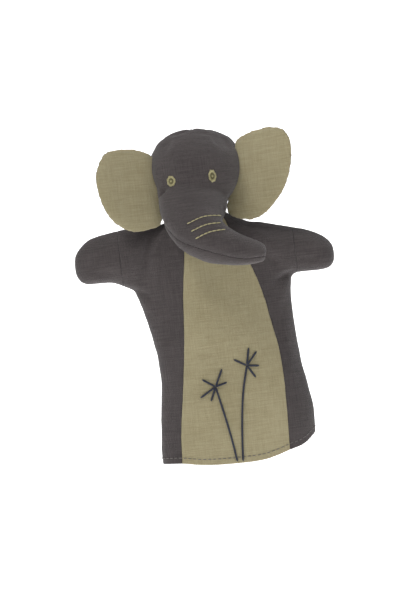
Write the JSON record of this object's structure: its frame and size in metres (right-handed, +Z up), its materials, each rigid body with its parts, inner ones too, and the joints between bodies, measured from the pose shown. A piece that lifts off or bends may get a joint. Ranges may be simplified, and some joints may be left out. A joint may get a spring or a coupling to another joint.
{
  "type": "glove puppet",
  "caption": "Elephant glove puppet: open cloth body with pale belly, short blunt arms, stuffed head, curved trunk and flat padded ears.",
  "frame": {"origin": "middle of the hand opening at the lowest level of the hem", "axes": "+Z up through the head as worn on a hand, the face looks along -Y, +X to the viewer's right"},
  "size_m": [0.209, 0.0965, 0.2709],
  "materials": {
    "grey_cloth": "matt slubby plain weave",
    "tan_cloth": "matt slubby plain weave",
    "pale_thread": "satin-stitched cotton thread",
    "grey_thread": "plain sewing thread",
    "navy_thread": "heavy embroidery thread",
    "wadding": "soft polyester fibre",
    "card": "rolled plain card"
  },
  "bodies": {
    "glove": {"belly_panel": "tan_cloth", "left_side_front": "grey_cloth", "right_side_front": "grey_cloth", "left_side_back": "grey_cloth", "right_side_back": "grey_cloth", "hem_facing": "grey_cloth", "hem_stitching": "grey_thread", "left_flower": "navy_thread", "right_flower": "navy_thread"},
    "neck": {"neck_band": "grey_cloth", "neck_thread": "pale_thread"},
    "head": {"face_panel": "grey_cloth", "chin_gusset": "grey_cloth", "left_head_back": "grey_cloth", "right_head_back": "grey_cloth", "head_stuffing": "wadding", "finger_tube": "card", "left_eye": "pale_thread", "right_eye": "pale_thread", "crown_stitches": "navy_thread"},
    "trunk": {"trunk_top_panel": "grey_cloth", "trunk_under_panel": "grey_cloth", "trunk_stuffing": "wadding", "trunk_wrinkles": "pale_thread"},
    "left_ear": {"left_ear_front": "tan_cloth", "left_ear_back": "grey_cloth", "left_ear_wadding": "wadding"},
    "right_ear": {"right_ear_front": "tan_cloth", "right_ear_back": "grey_cloth", "right_ear_wadding": "wadding"},
    "left_sleeve": {"left_sleeve_front": "grey_cloth", "left_sleeve_back": "grey_cloth"},
    "left_paw": {"left_paw_front": "grey_cloth", "left_paw_back": "grey_cloth"},
    "right_sleeve": {"right_sleeve_front": "grey_cloth", "right_sleeve_back": "grey_cloth"},
    "right_paw": {"right_paw_front": "grey_cloth", "right_paw_back": "grey_cloth"}
  },
  "joints": [
    {"name": "neck_turn", "type": "hinge", "parent": "glove", "child": "neck", "pos_m": [0.002, 0, 0.199], "axis": [0, 0, -1], "range_deg": [-12, 12], "stiffness_Nm_per_rad": 0.1},
    {"name": "head_nod", "type": "hinge", "parent": "neck", "child": "head", "pos_m": [0.002, 0, 0.206], "axis": [-1, 0, 0], "range_deg": [-12, 20], "stiffness_Nm_per_rad": 0.4},
    {"name": "trunk_swing", "type": "hinge", "parent": "head", "child": "trunk", "pos_m": [-0.002, -0.0325, 0.213], "axis": [0, 1, 0], "range_deg": [-15, 15], "stiffness_Nm_per_rad": 0.08},
    {"name": "left_ear_flap", "type": "hinge", "parent": "head", "child": "left_ear", "pos_m": [-0.0335, -0.014, 0.227], "axis": [0, 0, -1], "range_deg": [-35, 8], "stiffness_Nm_per_rad": 0.01},
    {"name": "right_ear_flap", "type": "hinge", "parent": "head", "child": "right_ear", "pos_m": [0.0375, -0.014, 0.227], "axis": [0, 0, 1], "range_deg": [-35, 8], "stiffness_Nm_per_rad": 0.01},
    {"name": "left_arm_clap", "type": "hinge", "parent": "glove", "child": "left_sleeve", "pos_m": [-0.056, 0, 0.171], "axis": [0, 0, 1], "range_deg": [-10, 45], "stiffness_Nm_per_rad": 0.02},
    {"name": "left_paw_drop", "type": "hinge", "parent": "left_sleeve", "child": "left_paw", "pos_m": [-0.072, 0, 0.172], "axis": [0, -1, 0], "range_deg": [-12, 12], "stiffness_Nm_per_rad": 0.02},
    {"name": "right_arm_clap", "type": "hinge", "parent": "glove", "child": "right_sleeve", "pos_m": [0.062, 0, 0.166], "axis": [0, 0, -1], "range_deg": [-10, 45], "stiffness_Nm_per_rad": 0.02},
    {"name": "right_paw_drop", "type": "hinge", "parent": "right_sleeve", "child": "right_paw", "pos_m": [0.078, 0, 0.163], "axis": [0, 1, 0], "range_deg": [-12, 12], "stiffness_Nm_per_rad": 0.02}
  ]
}
